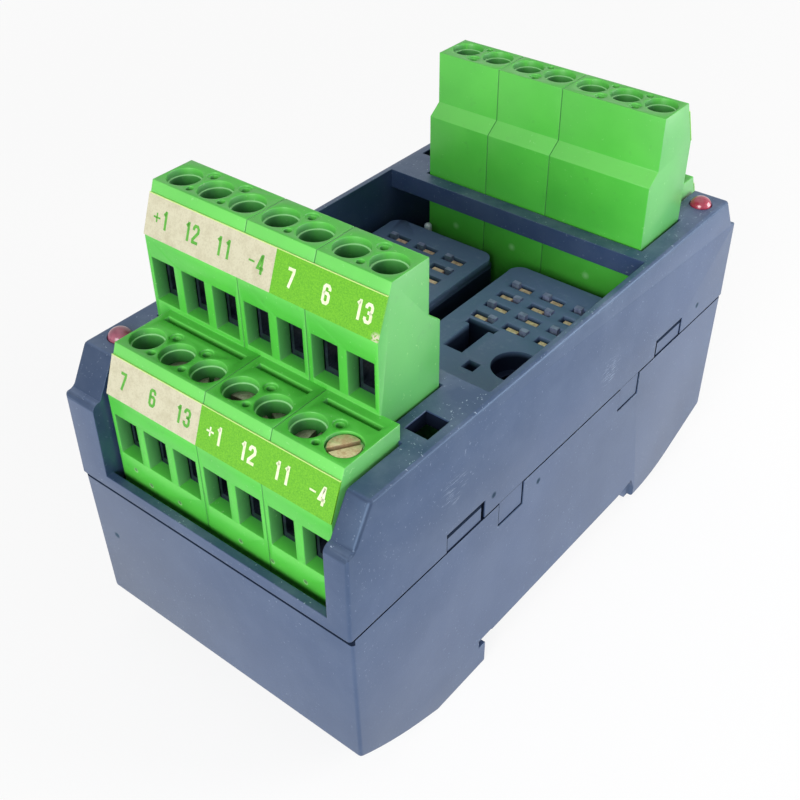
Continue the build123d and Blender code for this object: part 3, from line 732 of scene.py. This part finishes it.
def terminalBlock(index, tree):
    t = terminals
    first, count = sum(t["poles"][:index]), t["poles"][index]
    pitch = t["pitch"]
    tiers = []
    for tier in (0, 1):
        left, right = leftOf(first, tier), leftOf(first + count, tier)
        tiers.append(prism("tier", tierOutline(tier), left + t["gap"] / 2, right - t["gap"] / 2))
    lower, upper = tiers
    cutAway(lower, upper, "UNION")
    width, depth, row, inset = t["slot"]
    left, top = leftOf(first, 0), t["top"][0]
    outline = [(-row - width / 2, top - depth), (-row + width / 2, top - depth)]
    outline += [(-row + width / 2, top + 1), (-row - width / 2, top + 1)]
    keySlot = prism("keySlot", outline, left + inset, left + count * pitch - inset)
    cutAway(lower, keySlot)
    for tier in (0, 1):
        poles = lower.modifiers.new("poles", "NODES")
        poles.node_group = tree
        row, top, face = -t["row"][tier], t["top"][tier], -t["face"][tier]
        lengths = {
            "Pitch": pitch, "First X": leftOf(first, tier) + pitch / 2, "Row Y": row, "Top": top,
            "Bore": t["bore"], "Lip": t["lip"], "Lip Depth": t["lipDepth"],
            "Window Width": t["window"][0], "Window Height": t["window"][1],
            "Window Floor": top - t["windowDrop"] - t["window"][1], "Face Y": face, "Frame": t["frame"],
            "Chamber Width": t["chamber"][0], "Chamber Height": t["chamber"][1],
            "Chamber Length": t["chamber"][2],
            "Probe": t["probe"], "Probe Y": row - t["probeRow"], "Probe Depth": t["probeDepth"],
            "Mark": t["mark"], "Mark Y": row + t["markRow"], "Mark Depth": t["markDepth"],
        }
        values = {name: length * mm for name, length in lengths.items()}
        setInputs(poles, values | {"Poles": count, "Material": greenPlastic})
    addBevel(lower, t["edge"])
    piece = settled(lower, "block_" + blockNames[index])
    for cutter in (upper, keySlot):
        bpy.data.objects.remove(cutter)
    markInside(piece.data, first, count)
    return piece


# Where painted shade darkens the inside of a bore or window
insideLook = {
    "boreStart": 0.7,
    "boreFade": 0.5,
    "boreRim": 0.4,
    "ledgeHighlight": 1.2,
    "windowRim": 0.25,
    "windowShade": 0.25,
    "windowHead": 1.0,
    "chamberEnd": 9.2,
    "slack": 0.02,
    "margin": 0.05,
}


# How far inside a bore or window each corner of a moulding lies, from 0 at its edge to 1 where painted shade
# is full, and the ledges of the bores, which get a painted highlight
def markInside(mesh, first, count):
    t, look = terminals, insideLook
    for name in ("ledgeHighlight", "shadedInside"):
        mesh.attributes.new(name, "FLOAT", "CORNER")
    ledgeHighlight, shadedInside = mesh.attributes["ledgeHighlight"], mesh.attributes["shadedInside"]
    for face in mesh.polygons:
        centre = face.center / mm
        for tier in (0, 1):
            top, front, row = t["top"][tier], -t["face"][tier], -t["row"][tier]
            windowTop = top - t["windowDrop"]
            windowFloor = windowTop - t["window"][1]
            middles = [leftOf(first + pole, tier) + t["pitch"] / 2 for pole in range(count)]
            side = min(abs(centre.x - middle) for middle in middles)
            inBore = math.hypot(side, centre.y - row) < t["bore"] + look["slack"]
            inBore = inBore and windowFloor < centre.z < top - look["boreRim"]
            # ledges in the bores get a painted highlight
            onLedge = inBore and face.normal.z > 0.5 and centre.z > top - look["ledgeHighlight"]
            inWindow = side < t["chamber"][0] / 2 + look["slack"]
            inWindow = inWindow and look["windowRim"] < centre.y - front < look["chamberEnd"]
            inWindow = inWindow and windowFloor - look["margin"] < centre.z < windowTop + look["windowHead"]
            inChamber = centre.y - front > t["frame"] + look["margin"]
            for index in face.loop_indices:
                place = mesh.vertices[mesh.loops[index].vertex_index].co / mm
                value = 0.0
                if inBore:
                    value = (top - place.z - look["boreStart"]) / look["boreFade"]
                if inWindow:
                    depth = (place.y - front) / t["frame"] * look["windowShade"]
                    value = max(value, 1.0 if inChamber else depth)
                if onLedge:
                    ledgeHighlight.data[index].value, value = 1.0, 0.0
                if value > 0:
                    shadedInside.data[index].value = min(value, 1.0)


def turned(piece, name):  # the same shape at the other end of the module
    mesh = piece.data.copy()
    mesh.transform(Matrix.Rotation(math.pi, 4, "Z"))
    return newObject(name, mesh)


print("terminal blocks")
poleTree = buildPoleTree()
for index, side in enumerate(blockNames):
    front = terminalBlock(index, poleTree)
    dress(front, greenPlastic)
    rearSide = blockNames[2 - index]
    rear = turned(front, "rearBlock_" + rearSide)
    front.name = "frontBlock_" + side
    inPlace(front, "housing", "terminal", "terminal_block_front_" + side)
    inPlace(rear, "housing", "terminal", "terminal_block_rear_" + rearSide)


screws = {
    "head": 1.88,
    "height": 1.6,
    "shank": 1.25,
    "length": 8.3,
    "slot": 0.62,
    "slotDepth": 0.8,
    "edge": 0.16,
    "depths": (3.1, 2.4, 2.3, 1.9, 2.45, 2.2, 0.25),
    "turns": (20.0, 75.0, 130.0, 5.0, 155.0, 100.0, 57.5),
    "driven": 4.2,
    "threadPitch": 0.5,
    "threadRise": 0.05,
    "faceMap": 4.0,
}


# A screw about its own axis, head up: a turned head with a slot, and a shank with thread ridges
def buildScrewTree():
    lengths = ("Head", "Height", "Shank", "Length", "Slot", "Slot Depth", "Thread Pitch", "Thread Rise")
    g = ShapeTree("clampScrew", lengths, {"Material": "NodeSocketMaterial"})
    v = g.value
    high, length, pitch = v["Height"], v["Length"], v["Thread Pitch"]

    def below(drop):
        return g.point(0.0, 0.0, -drop)

    def lowered(shape, drop):
        return g.node("GeometryNodeTransform", {}, {"Geometry": shape, "Translation": below(drop)})

    disc = lowered(g.cylinder(64, v["Head"], high), high * 0.5)
    head = g.cut(disc, g.block(v["Head"] * 3, v["Slot"], v["Slot Depth"] * 2))
    shank = lowered(g.cylinder(24, v["Shank"] - v["Thread Rise"], length), high + length * 0.5)
    ridge = g.cylinder(24, v["Shank"], pitch * 0.4)
    thread = g.row((length / pitch).maths("FLOOR"), below(high + pitch), below(pitch), ridge)
    whole = g.node("GeometryNodeJoinGeometry")
    for part in (thread, shank, head):
        plug(g.tree, whole.socket.node.inputs[0], part)
    return g.finish(whole)


def screwMesh():
    s = screws
    holder = newObject("screwHolder", bpy.data.meshes.new("screwHolder"))
    modifier = holder.modifiers.new("screw", "NODES")
    modifier.node_group = buildScrewTree()
    lengths = {
        "Head": s["head"], "Height": s["height"], "Shank": s["shank"], "Length": s["length"],
        "Slot": s["slot"], "Slot Depth": s["slotDepth"],
        "Thread Pitch": s["threadPitch"], "Thread Rise": s["threadRise"],
    }
    values = {name: length * mm for name, length in lengths.items()}
    setInputs(modifier, values | {"Material": shadedScrewMetal})
    addBevel(holder, s["edge"], 2, 50)
    piece = settled(holder, "screwShape")
    mesh = piece.data.copy()
    bpy.data.objects.remove(piece)
    layer = mesh.uv_layers.new(name="face")
    size = s["faceMap"] * mm
    for loop in mesh.loops:
        place = mesh.vertices[loop.vertex_index].co
        layer.data[loop.index].uv = (0.5 + place.x / size, 0.5 + place.y / size)
    return mesh


print("screws")
screwShape = screwMesh()
for end, half in (("front", 0), ("rear", math.pi)):
    for tier, tierName in enumerate(("lower", "upper")):
        for pole in range(sum(terminals["poles"])):
            seen = end == "front" and tier == 0
            depth = screws["depths"][pole] if seen else screws["driven"]
            turn = screws["turns"][pole if tier == 0 else -1 - pole]
            x = leftOf(pole, tier) + terminals["pitch"] / 2
            place = Vector((x, -terminals["row"][tier], terminals["top"][tier] - depth)) * mm
            mesh = screwShape.copy()
            spin = Matrix.Rotation(math.radians(turn), 4, "Z")
            mesh.transform(Matrix.Rotation(half, 4, "Z") @ Matrix.Translation(place) @ spin)
            node = f"screw_{end}_{tierName}_{pole + 1}"
            piece = newObject(node + "_turned", mesh)
            # screws sunk in their bores take the darker copy, painted shade
            dress(piece, brassScrewMetal if depth < 1 else shadedScrewMetal)
            inPlace(piece, node, "screw", node)


# The housing's two halves have rounded outer edges: each is cut to a softened block of its own side view
housing = {
    "halfWidth": 22.5,
    "halfway": 25.0,  # an outline's corners above this are its upper ones
    "spare": 0.004,
    "edge": 0.45,
    "shellSide": ((43.7, 20.0), (43.7, 28.8), (43.6, 41.5), (42.35, 41.6), (39.5, 46.6)),
    "baseFront": ((-43.483, 35.0),),
    "toe": ((-42.881, 6.9), (-31.6, 1.4), 60.0, 6),
    "baseSole": ((-27.6, 0.0), (18.0, 0.0), (21.5, 1.7)),
    "heel": ((23.423, 1.7), (33.175, 3.68), 25.0, 8),
    "baseRear": ((42.9, 7.8), (43.289, 35.0)),
    "guides": (16.5, ((21.3, 0.0), (30.7, 0.0), (30.7, 4.0), (21.3, 4.0))),
}


def arcPoints(start, end, radius, steps):  # an arc from start to end that bulges to the right of the way
    start, end = Vector(start), Vector(end)
    half = (end - start).length / 2
    along = (end - start).normalized()
    right = Vector((along.y, -along.x))
    centre = (start + end) / 2 - right * math.sqrt(radius ** 2 - half ** 2)
    points = []
    for step in range(steps + 1):
        angle = math.asin(half / radius) * (2 * step / steps - 1)
        points.append(tuple(centre + (right * math.cos(angle) + along * math.sin(angle)) * radius))
    return points


def grown(outline):  # a little outside the moulding, so that only its edges are cut
    spare, halfway = housing["spare"], housing["halfway"]
    return [(y + math.copysign(spare, y), z + spare * (1 if z > halfway else -1)) for y, z in outline]


def housingHalf(node, outline, guides=False):
    h = housing
    wide = h["halfWidth"] + h["spare"]
    block = prism(node + "_block", grown(outline), -wide, wide)
    addBevel(block, h["edge"], 3, 20)
    cutters = [block]
    if guides:
        wide, outline = h["guides"]
        cutters.append(prism("guideSpace", grown(outline), -wide, wide))
        cutAway(block, cutters[1], "UNION")
    piece = mergedCopy(node)
    cutAway(piece, block, "INTERSECT")
    piece = settled(piece, node + "_moulding")
    for cutter in cutters:
        bpy.data.objects.remove(cutter)
    dress(piece, housingPlastic)
    inPlace(piece, "housing", "housing", node)


print("housing")
shellRear = list(housing["shellSide"])
housingHalf("upper_shell", shellRear + [(-y, z) for y, z in reversed(shellRear)])
baseSide = [*housing["baseFront"], *arcPoints(*housing["toe"]), *housing["baseSole"]]
baseSide += [*arcPoints(*housing["heel"]), *housing["baseRear"]]
housingHalf("base_housing", baseSide, guides=True)
for side in ("left", "right"):
    piece = settled(mergedCopy("relay_socket_" + side, 0.14), f"socket_{side}_moulding")
    dress(piece, socketPlastic)
    inPlace(piece, "housing", "socket", "relay_socket_" + side)

plainNodes = {
    "circuit_board": boardGreen,
    "clamps_front_lower": cageSteel,
    "clamps_front_upper": cageSteel,
    "clamps_rear_lower": cageSteel,
    "clamps_rear_upper": cageSteel,
    "socket_contacts_left": contactMetal,
    "socket_contacts_right": contactMetal,
    "lamp_leads": leadTin,
    "rail_latch": latchPlastic,
}
for node, material in plainNodes.items():
    dress(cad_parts[node], material)

low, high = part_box("latch_spring")
piece = settled(mergedCopy("latch_spring"), "leafSpring")
dress(piece, springSteel)
inPlace(piece, "housing", "spring", "latch_spring")
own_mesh(piece)


lamps = {"radius": 1.5, "x": 19.807, "y": 36.1, "base": 42.6, "top": 47.75, "rise": 1.2}
lightPipe = {"radius": 0.6, "rise": 0.5}


# A round piece about a vertical axis, from its outline as radius and height
def lathe(name, outline, x, y, sides=40):
    shape = bmesh.new()
    points = [shape.verts.new((r * mm, 0, z * mm)) for r, z in outline]
    edges = [shape.edges.new(pair) for pair in zip(points, points[1:])]
    bmesh.ops.spin(shape, geom=points + edges, axis=(0, 0, 1), cent=(0, 0, 0), angle=math.tau, steps=sides)
    bmesh.ops.remove_doubles(shape, verts=shape.verts, dist=0.001 * mm)
    bmesh.ops.recalc_face_normals(shape, faces=shape.faces)
    bmesh.ops.translate(shape, verts=shape.verts, vec=Vector((x, y, 0)) * mm)
    piece = pieceFrom(shape, name)
    smooth(piece.data, 40)
    return piece


def dome(radius, base, top, rise, steps=8):
    outline = [(0, base), (radius, base), (radius, top - rise)]
    for step in range(1, steps + 1):
        angle = step / steps * math.pi / 2
        outline.append((radius * math.cos(angle), top - rise + rise * math.sin(angle)))
    return outline


print("lamps and light pipe")
for end, sign, material in (("front", -1, lampDull), ("rear", 1, lampRed)):
    outline = dome(lamps["radius"], lamps["base"], lamps["top"], lamps["rise"])
    piece = lathe(f"lamp_{end}_dome", outline, sign * lamps["x"], sign * lamps["y"])
    dress(piece, material)
    inPlace(piece, "housing", "lamp", "lamp_" + end)
low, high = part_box("light_pipe")
middle = (low + high) / 2 / mm
outline = dome(lightPipe["radius"], low.z / mm, high.z / mm, lightPipe["rise"])
piece = lathe("lightPipe_rod", outline, middle.x, middle.y, 24)
dress(piece, pipeClear)
inPlace(piece, "housing", "pipe", "light_pipe")


strips = {
    "margin": 0.15,
    "length": 5.1,
    "thickness": 0.2,
    "numbers": (
        ("lower", ("7", "6", "13", "+1", "12", "11", "-4"), 3),
        ("upper", ("+1", "12", "11", "-4", "7", "6", "13"), 4),
    ),
    "high": 2.25,
    "wide": 1.1,
    "stroke": 0.36,
    "thin": 0.22,
    "between": 0.24,
    "ink": 0.015,
    "worn": (0.3, 0.5),  # from the upper strip's right end and lower edge
}

# Strokes of each figure, in a box from -1 to 1 both ways
figures = {
    "1": (((0.35, -1.18), (0.35, 1.18)), ((-0.55, 0.6), (0.3, 0.95))),
    "2": (((-1, 0.45), (-1, 0.72), (-0.55, 1), (0.55, 1), (1, 0.72), (1, 0.3), (-1, -0.7), (-1, -1),
           (1.25, -1)),),
    "3": (((-1, 0.5), (-1, 0.75), (-0.5, 1), (0.5, 1), (1, 0.75), (1, 0.3), (0.5, 0.05), (-0.35, 0.05)),
          ((0.2, 0.05), (0.5, 0.05), (1, -0.2), (1, -0.75), (0.5, -1), (-0.5, -1), (-1, -0.75), (-1, -0.5))),
    "4": (((0.5, -1.18), (0.5, 1.18)), ((0.3, 1.0), (-0.95, -0.5), (1.3, -0.5))),
    "6": (((1, 0.5), (1, 0.75), (0.5, 1), (-0.5, 1), (-1, 0.75), (-1, -0.75), (-0.5, -1), (0.5, -1),
           (1, -0.75), (1, -0.1), (0.5, 0.12), (-1, 0.12)),),
    "7": (((-1.25, 1), (0.95, 1), (0.95, 0.7), (-0.25, -1.18)),),
    "+": (((-1.5, 0), (1.5, 0)), ((0, -0.58), (0, 0.58))),
    "-": (((-1.2, 0), (1.2, 0)),),
}


def ribbon(points, width):  # the outline of a line of this width through the points, with mitred corners
    points = [Vector(point) for point in points]
    left, right = [], []
    for index, point in enumerate(points):
        before = (point - points[index - 1]).normalized() if index else None
        after = (points[index + 1] - point).normalized() if index + 1 < len(points) else None
        way = ((before or after) + (after or before)).normalized()
        aside = Vector((-way.y, way.x))
        stretch = aside.dot(Vector((-(after or before).y, (after or before).x)))
        left.append(point + aside * width / 2 / stretch)
        right.append(point - aside * width / 2 / stretch)
    return left + right[::-1]


def addRibbon(shape, low, high):  # a closed ribbon between its lower and its upper outline
    count = len(low)
    for index in range(count // 2 - 1):
        other = count - 1 - index
        shape.faces.new((high[index], high[index + 1], high[other - 1], high[other]))
        shape.faces.new((low[other], low[other - 1], low[index + 1], low[index]))
    for index in range(count):
        after = (index + 1) % count
        shape.faces.new((low[index], low[after], high[after], high[index]))


# Numbers on the slope: every stroke a thin raised ribbon of ink
def writeNumbers(tier, words, material, name):
    s = strips
    run, drop = terminals["slope"]
    slope = math.hypot(run, drop)
    up = Vector((0, run / slope, drop / slope))
    out = Vector((0, -drop / slope, run / slope))
    foot = Vector((0, -terminals["face"][tier], terminals["top"][tier] - drop))
    foot += up * (s["margin"] + s["length"] / 2) + out * s["thickness"]
    across, tall = (s["wide"] - s["stroke"]) / 2, (s["high"] - s["stroke"]) / 2
    shape = bmesh.new()
    for pole, word in words:
        x = leftOf(pole, tier) + terminals["pitch"] / 2 - (len(word) - 1) / 2 * (s["wide"] + s["between"])
        for figure in word:
            for stroke in figures[figure]:
                width = s["thin"] if figure in "+-" else s["stroke"]
                flat = ribbon([(u * across, v * tall) for u, v in stroke], width)
                levels = []
                for height in (0.0, s["ink"]):
                    places = [foot + Vector((x + u, 0, 0)) + up * v + out * height for u, v in flat]
                    levels.append([shape.verts.new(place * mm) for place in places])
                addRibbon(shape, *levels)
            x += s["wide"] + s["between"]
    bmesh.ops.recalc_face_normals(shape, faces=shape.faces)
    piece = pieceFrom(shape, name)
    dress(piece, material)
    inPlace(piece, "housing", "strip")


print("marking strips")
for tier, (tierName, words, change) in enumerate(strips["numbers"]):
    split = leftOf(change, tier)
    low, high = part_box(f"marking_strip_front_{tierName}")
    inset, rise = strips["worn"]
    worn = (high.x / mm - inset, low.y / mm, low.z / mm + rise) if tier else None
    front, rear = (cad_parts[f"marking_strip_{end}_{tierName}"] for end in ("front", "rear"))
    dress(front, stripFinish("strip_" + tierName, split, high.z / mm, worn))
    dress(rear, stripFinish("rearStrip_" + tierName, -terminals["face"][0], high.z / mm))  # green all along
    poles = list(enumerate(words))
    writeNumbers(tier, poles[:change], inkGreen, f"numbers_green_{tierName}")
    writeNumbers(tier, poles[change:], inkWhite, f"numbers_white_{tierName}")


# Floor, light and camera
studio = {
    "world": 0.30,
    "key": {"place": (250, 190, 100), "aim": (10, 20, 30), "size": 200, "power": 1.05},
    "front": {"place": (150, -540, 240), "aim": (0, 0, 35), "size": 320, "power": 3.3},
    "top": {"place": (-40, 60, 420), "aim": (0, 0, 40), "size": 320, "power": 0.15},
    "floor": {"reach": 900, "glow": 0.85, "plainFrom": 130, "plainTo": 420},
}


def addLamp(name, setup):
    light = bpy.data.lights.new(name, "AREA")
    light.size = setup["size"] * mm
    light.energy = setup["power"]
    lamp = bpy.data.objects.new(name, light)
    bpy.context.scene.collection.objects.link(lamp)
    place = Vector(setup["place"]) * mm
    lamp.location = place
    lamp.rotation_euler = (Vector(setup["aim"]) * mm - place).to_track_quat("-Z", "Y").to_euler()


rayNames = ("Is Camera Ray", "Is Glossy Ray", "Is Transmission Ray")


def addFloor():
    setup = studio["floor"]
    shape = bmesh.new()
    reach = setup["reach"] * mm
    corners = ((-reach, -reach), (reach, -reach), (reach, reach), (-reach, reach))
    shape.faces.new([shape.verts.new((x, y, 0)) for x, y in corners])
    floor = pieceFrom(shape, "floor")
    f = Finish("floorWhite")
    path = f.tree.nodes.new("ShaderNodeLightPath")
    seen, shiny, through = [Wire(f.tree, path.outputs[name]) for name in rayNames]
    f.finish(Base_Color=(0.92, 0.92, 0.92, 1), Roughness=0.9)
    glow = f.node("ShaderNodeEmission", {}, {"Color": (1, 1, 1, 1), "Strength": 1.0})
    lit = Wire(f.tree, f.shader.outputs[0])
    x, y = f.axis("X"), f.axis("Y")
    far = f.ramp(x * x + y * y, setup["plainFrom"] ** 2, setup["plainTo"] ** 2)
    # near the object a part of the light is the floor's own, with its shadow, and far off it is plain white
    plain = setup["glow"] + (1 - setup["glow"]) * far
    mixed = f.node("ShaderNodeMixShader", {}, {0: seen * plain + shiny + through, 1: lit, 2: glow})
    plug(f.tree, f.tree.nodes["Material Output"].inputs["Surface"], mixed)
    dress(floor, f.material)


def addWorld():
    world = bpy.data.worlds.new("studio")
    bpy.context.scene.world = world
    world.use_nodes = True
    tree = world.node_tree
    path = tree.nodes.new("ShaderNodeLightPath")
    seen, shiny, through = [Wire(tree, path.outputs[name]) for name in rayNames]
    strength = studio["world"] + (1 - studio["world"]) * (seen + shiny + through)
    background = tree.nodes["Background"]
    background.inputs["Color"].default_value = (1, 1, 1, 1)
    plug(tree, background.inputs["Strength"], strength)


camera = {
    "place": (77.56, -102.06, 125.91),
    "right": (0.77814, 0.62803, -0.00863),
    "up": (-0.38561, 0.48855, 0.78270),
    "lens": 51.45,
}


def addCamera():
    data = bpy.data.cameras.new("view")
    data.lens = camera["lens"]
    data.sensor_width = 36
    data.clip_start = 0.001
    holder = bpy.data.objects.new("view", data)
    bpy.context.scene.collection.objects.link(holder)
    right = Vector(camera["right"]).normalized()
    back = right.cross(Vector(camera["up"])).normalized()
    up = back.cross(right)
    turn = Matrix((right, up, back)).transposed().to_4x4()
    holder.matrix_world = Matrix.Translation(Vector(camera["place"]) * mm) @ turn
    bpy.context.scene.camera = holder


print("studio")
addWorld()
addFloor()
for name in ("key", "front", "top"):
    addLamp(name, studio[name])
addCamera()
bpy.context.scene.view_settings.view_transform = "Standard"
